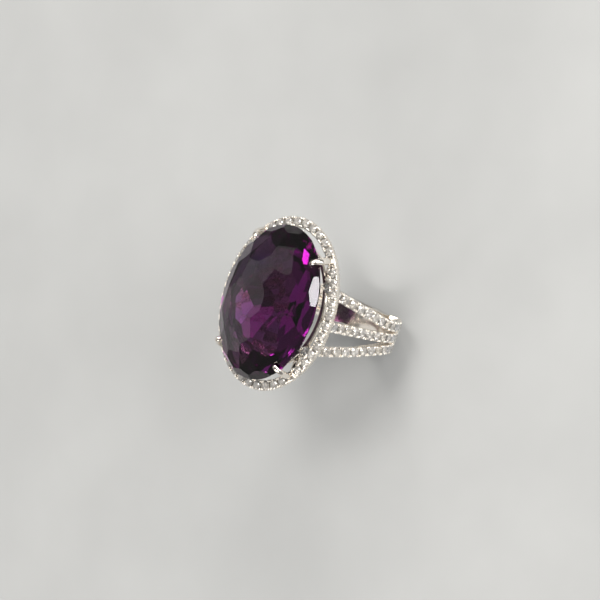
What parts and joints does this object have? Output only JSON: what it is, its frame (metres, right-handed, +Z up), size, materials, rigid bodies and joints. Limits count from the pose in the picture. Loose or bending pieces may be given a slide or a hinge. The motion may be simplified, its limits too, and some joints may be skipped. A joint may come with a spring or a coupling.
{
  "type": "cocktail ring",
  "caption": "Cocktail ring with a large oval purple stone in four claws, an oval halo of small diamonds, and shoulders split into diamond-set bars.",
  "frame": {"origin": "centre of the finger opening, at the middle of the shank's width", "axes": "+Y along the finger towards the fingertip, +Z up through the centre stone, +X across the finger to the right shoulder"},
  "size_m": [0.0206, 0.0248, 0.0272],
  "materials": {
    "white_gold": "polished, warm white",
    "amethyst": "polished facets, deep purple",
    "diamond": "polished facets, near white"
  },
  "bodies": {
    "root": {"centre_amethyst": "amethyst", "claw_front_right": "white_gold", "claw_front_left": "white_gold", "claw_back_left": "white_gold", "claw_back_right": "white_gold", "halo_rail": "white_gold", "halo_diamond_01": "diamond", "halo_diamond_02": "diamond", "halo_diamond_03": "diamond", "halo_diamond_04": "diamond", "halo_diamond_05": "diamond", "halo_diamond_06": "diamond", "halo_diamond_07": "diamond", "halo_diamond_08": "diamond", "halo_diamond_09": "diamond", "halo_diamond_10": "diamond", "halo_diamond_11": "diamond", "halo_diamond_12": "diamond", "halo_diamond_13": "diamond", "halo_diamond_14": "diamond", "halo_diamond_15": "diamond", "halo_diamond_16": "diamond", "halo_diamond_17": "diamond", "halo_diamond_18": "diamond", "halo_diamond_19": "diamond", "halo_diamond_20": "diamond", "halo_diamond_21": "diamond", "halo_diamond_22": "diamond", "halo_diamond_23": "diamond", "halo_diamond_24": "diamond", "halo_diamond_25": "diamond", "halo_diamond_26": "diamond", "halo_diamond_27": "diamond", "halo_diamond_28": "diamond", "halo_diamond_29": "diamond", "halo_diamond_30": "diamond", "halo_diamond_31": "diamond", "halo_diamond_32": "diamond", "halo_diamond_33": "diamond", "halo_diamond_34": "diamond", "halo_diamond_35": "diamond", "halo_diamond_36": "diamond", "halo_diamond_37": "diamond", "halo_diamond_38": "diamond", "halo_diamond_39": "diamond", "halo_diamond_40": "diamond", "gallery_rail": "white_gold", "shoulder_bar_right_front": "white_gold", "shoulder_diamonds_right_front": "diamond", "shoulder_bar_right_middle": "white_gold", "shoulder_diamonds_right_middle": "diamond", "shoulder_bar_right_back": "white_gold", "shoulder_diamonds_right_back": "diamond", "shoulder_bar_left_front": "white_gold", "shoulder_diamonds_left_front": "diamond", "shoulder_bar_left_middle": "white_gold", "shoulder_diamonds_left_middle": "diamond", "shoulder_bar_left_back": "white_gold", "shoulder_diamonds_left_back": "diamond", "shank_base": "white_gold"}
  },
  "joints": []
}
